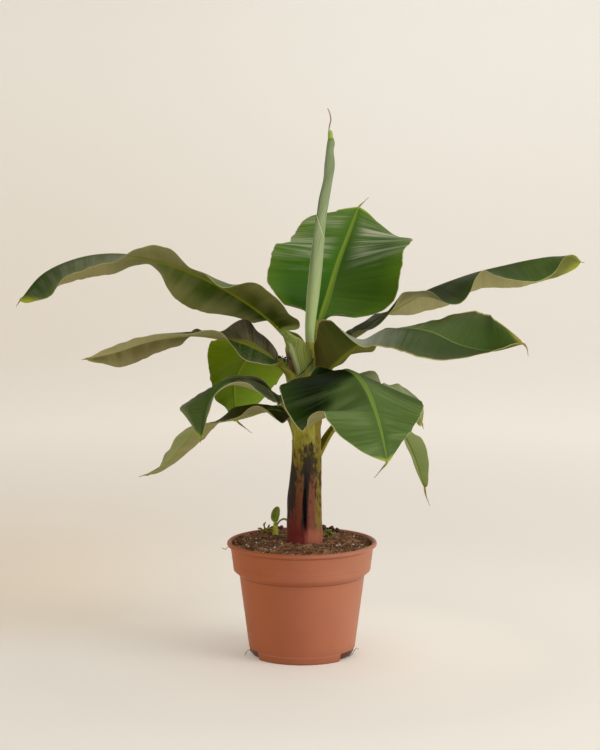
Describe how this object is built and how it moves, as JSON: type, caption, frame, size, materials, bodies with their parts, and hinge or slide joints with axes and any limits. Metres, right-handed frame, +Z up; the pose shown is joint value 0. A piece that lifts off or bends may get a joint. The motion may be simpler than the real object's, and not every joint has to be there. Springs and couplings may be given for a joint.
{
  "type": "potted banana plant",
  "caption": "Young banana plant with a short sheathed trunk, broad arching leaves, a rolled new leaf and small side shoots, standing in a round plastic nursery pot.",
  "frame": {"origin": "centre of the pot's flat underside", "axes": "+Z up, -Y towards the viewer of the front view, +X to that viewer's right"},
  "size_m": [0.798, 0.5494, 0.7631],
  "materials": {
    "pot": "satin terracotta coloured plastic",
    "soil": "loose moist potting soil with fibres and pale grains",
    "trunk": "fleshy sheaths, yellow green above, purple brown and maroon below",
    "rolled_leaf": "pale sage green rolled leaf",
    "leaf": "satin green above, dull olive beneath, pale edge",
    "sprout": "satin yellow green"
  },
  "bodies": {
    "root": {"pot": "pot", "soil": "soil", "trunk": "trunk", "rolled_leaf": "rolled_leaf", "leaf_upper_left_stalk": "leaf", "leaf_upper_left_tip": "leaf", "leaf_mid_left": "leaf", "leaf_back_left_stalk": "leaf", "leaf_back_left_tip": "leaf", "leaf_front_left_stalk": "leaf", "leaf_front_left_tip": "leaf", "leaf_low_left_stalk": "leaf", "leaf_low_left_tip": "leaf", "leaf_front_stalk": "leaf", "leaf_front_tip": "leaf", "leaf_back_right_stalk": "leaf", "leaf_back_right_tip": "leaf", "leaf_low_right_stalk": "leaf", "leaf_low_right_tip": "leaf", "leaf_mid_right": "leaf", "leaf_upper_right": "leaf", "leaf_back": "leaf", "sprout_left": "sprout", "sprout_right": "sprout"}
  },
  "joints": []
}
